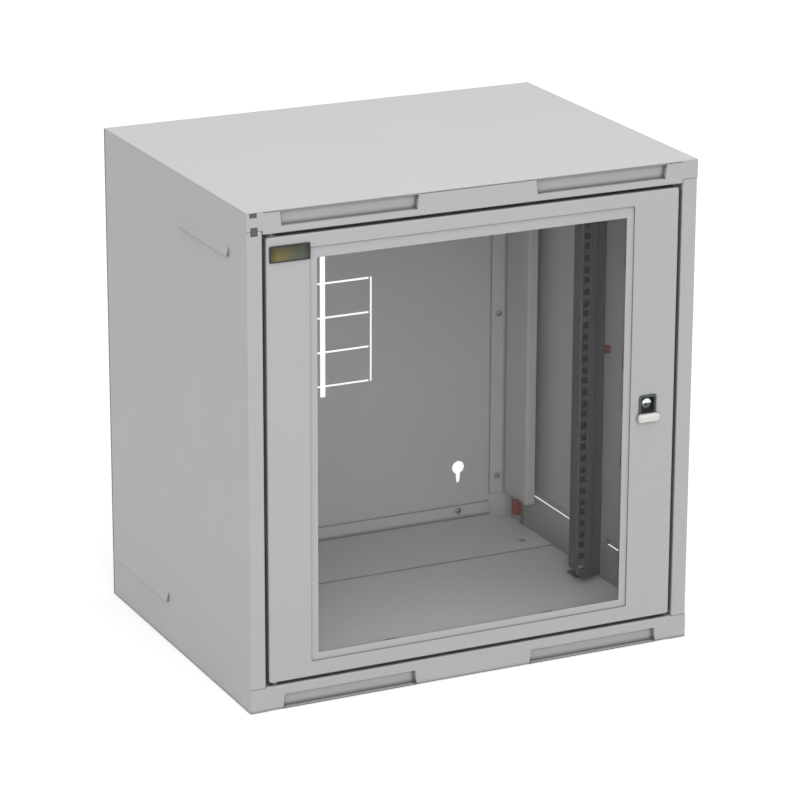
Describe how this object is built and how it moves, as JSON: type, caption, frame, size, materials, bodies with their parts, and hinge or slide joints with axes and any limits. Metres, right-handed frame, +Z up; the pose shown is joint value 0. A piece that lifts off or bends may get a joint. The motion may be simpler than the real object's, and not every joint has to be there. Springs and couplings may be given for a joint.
{
  "type": "wall mount network cabinet",
  "caption": "Wall mount rack cabinet of folded grey sheet steel with a hinged, lockable glass door, dark 19-inch rails with square holes, and a keyholed rear wall.",
  "frame": {"origin": "in the wall plane, on the cabinet's centreline, at the level of its base", "axes": "+X to the right seen from the front, +Y towards the wall, +Z up"},
  "size_m": [0.607, 0.4573, 0.625],
  "materials": {
    "case_enamel": "satin light grey powder coat",
    "door_enamel": "satin light grey powder coat",
    "rail_enamel": "satin anthracite powder coat",
    "door_glass": "clear toughened glass",
    "seal_foam": "black closed-cell foam",
    "zinc_steel": "bright zinc plate",
    "red_plastic": "red moulded nylon",
    "buffer_rubber": "black rubber",
    "bush_plastic": "light grey acetal",
    "lock_plastic": "dark grey moulded plastic",
    "lip_plastic": "off-white moulded plastic",
    "lock_plug": "satin chrome plate"
  },
  "bodies": {
    "cabinet": {"back_panel": "case_enamel", "cable_cover_bottom": "case_enamel", "cable_cover_top": "case_enamel", "ceiling_panel": "case_enamel", "cover_screws": "zinc_steel", "door_buffers": "buffer_rubber", "door_stops": "case_enamel", "floor_panel": "case_enamel", "front_rail_bottom": "case_enamel", "front_rail_top": "case_enamel", "hinge_pin_bottom": "zinc_steel", "post_clips": "red_plastic", "rack_rail_left": "rail_enamel", "rack_rail_right": "rail_enamel", "rail_clips": "red_plastic", "rail_nuts": "zinc_steel", "rail_screws": "zinc_steel", "rear_post_left": "case_enamel", "rear_post_right": "case_enamel", "side_panel_left": "case_enamel", "side_panel_right": "case_enamel", "top_cover": "case_enamel", "wall_screws": "zinc_steel"},
    "door": {"door_skin": "door_enamel", "door_glass": "door_glass", "glass_seal": "seal_foam", "glass_clips": "zinc_steel", "clip_studs": "zinc_steel", "clip_nuts": "zinc_steel", "hinge_bush_bottom": "bush_plastic", "hinge_bush_top": "bush_plastic", "pin_guide": "door_enamel", "pin_spring": "zinc_steel", "lock_housing": "lock_plastic", "lock_lip": "lip_plastic", "lock_nut": "zinc_steel"},
    "latch": {"lock_cylinder": "lock_plug", "key_cap": "lock_plug", "lock_cam": "zinc_steel", "cam_screw": "zinc_steel"},
    "hinge_pin": {"hinge_pin_top": "zinc_steel"}
  },
  "joints": [
    {"name": "door_hinge", "type": "hinge", "parent": "cabinet", "child": "door", "pos_m": [-0.265, -0.44, 0.31175], "axis": [0, 0, -1], "range_deg": [0, 105]},
    {"name": "lock_turn", "type": "hinge", "parent": "door", "child": "latch", "pos_m": [0.2375, -0.44, 0.31925], "axis": [0, -1, 0], "range_deg": [0, 90]},
    {"name": "hinge_pin_pull", "type": "slide", "parent": "door", "child": "hinge_pin", "axis": [0, 0, -1], "range_m": [0, 0.008], "stiffness_N_per_m": 300, "springref_m": -0.01, "deforming": ["pin_spring"]}
  ]
}
